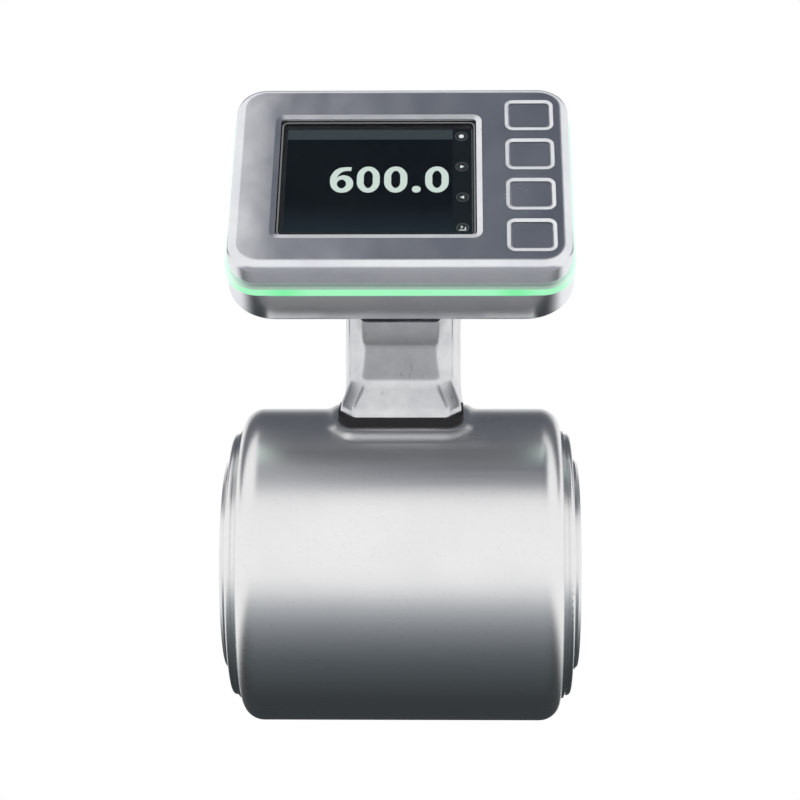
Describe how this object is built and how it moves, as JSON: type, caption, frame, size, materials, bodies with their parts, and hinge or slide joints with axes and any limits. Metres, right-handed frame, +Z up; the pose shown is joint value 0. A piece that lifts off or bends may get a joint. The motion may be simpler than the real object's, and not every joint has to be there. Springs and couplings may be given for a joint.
{
  "type": "electromagnetic flow meter",
  "caption": "Compact stainless flow meter with a cylindrical sensor body, a neck and a tilted display head with keys and a light ring.",
  "frame": {"origin": "centre of the flow bore, halfway along the pipe", "axes": "+X along the pipe, +Z up to the display head, the display faces -Y and upwards"},
  "size_m": [0.1088, 0.097, 0.1972],
  "materials": {
    "brushed_steel": "fine brushed stainless steel",
    "satin_steel": "satin stainless steel",
    "black_rubber": "matt black elastomer",
    "ring_light": "clear plastic lit in green",
    "window": "clear hardened glass",
    "display": "dark colour display",
    "liner": "pale lining",
    "electrode": "polished alloy",
    "copper": "enamelled copper winding",
    "iron": "plain soft iron",
    "board": "green circuit board",
    "black_plastic": "black moulded plastic",
    "cable": "cable sheath",
    "contact": "gold-plated contact"
  },
  "bodies": {
    "meter": {"body_casing": "brushed_steel", "measuring_tube": "brushed_steel", "liner": "liner", "seal_left": "black_rubber", "seal_right": "black_rubber", "electrode_front": "electrode", "electrode_rear": "electrode", "level_electrode": "electrode", "temperature_probe": "electrode", "electrode_insulators": "liner", "electrode_nuts": "satin_steel", "upper_pole": "iron", "lower_pole": "iron", "upper_coil": "copper", "lower_coil": "copper", "return_yoke": "iron", "terminal_block": "black_plastic", "neck_gasket": "black_rubber", "neck": "brushed_steel", "neck_screws": "satin_steel", "signal_cable": "cable", "supply_cable": "cable", "connector_shell": "satin_steel", "connector_insert": "black_plastic", "connector_contacts": "contact", "connector_seal": "black_rubber", "connector_nut": "satin_steel", "head_gasket": "black_rubber", "head_mount_screws": "satin_steel", "rear_housing": "satin_steel", "light_ring": "ring_light", "cover_seal": "black_rubber", "front_cover": "satin_steel", "head_screws": "satin_steel", "window_seal": "black_rubber", "window_glass": "window", "display_module": "display", "display_bracket": "black_plastic", "main_board": "board", "board_screws": "satin_steel", "processor_chip": "black_plastic", "power_module": "black_plastic", "cable_socket": "black_plastic", "supply_socket": "black_plastic", "status_leds": "ring_light", "key_switches": "black_plastic", "key_membrane": "black_rubber"},
    "key_1": {"key_1": "satin_steel"},
    "key_2": {"key_2": "satin_steel"},
    "key_3": {"key_3": "satin_steel"},
    "key_4": {"key_4": "satin_steel"}
  },
  "joints": [
    {"name": "key_1_press", "type": "slide", "parent": "meter", "child": "key_1", "axis": [0, 0.7837, -0.6211], "range_m": [0, 0.0004], "stiffness_N_per_m": 800, "springref_m": -0.0003},
    {"name": "key_2_press", "type": "slide", "parent": "meter", "child": "key_2", "axis": [0, 0.7837, -0.6211], "range_m": [0, 0.0004], "stiffness_N_per_m": 800, "springref_m": -0.0003},
    {"name": "key_3_press", "type": "slide", "parent": "meter", "child": "key_3", "axis": [0, 0.7837, -0.6211], "range_m": [0, 0.0004], "stiffness_N_per_m": 800, "springref_m": -0.0003},
    {"name": "key_4_press", "type": "slide", "parent": "meter", "child": "key_4", "axis": [0, 0.7837, -0.6211], "range_m": [0, 0.0004], "stiffness_N_per_m": 800, "springref_m": -0.0003}
  ]
}
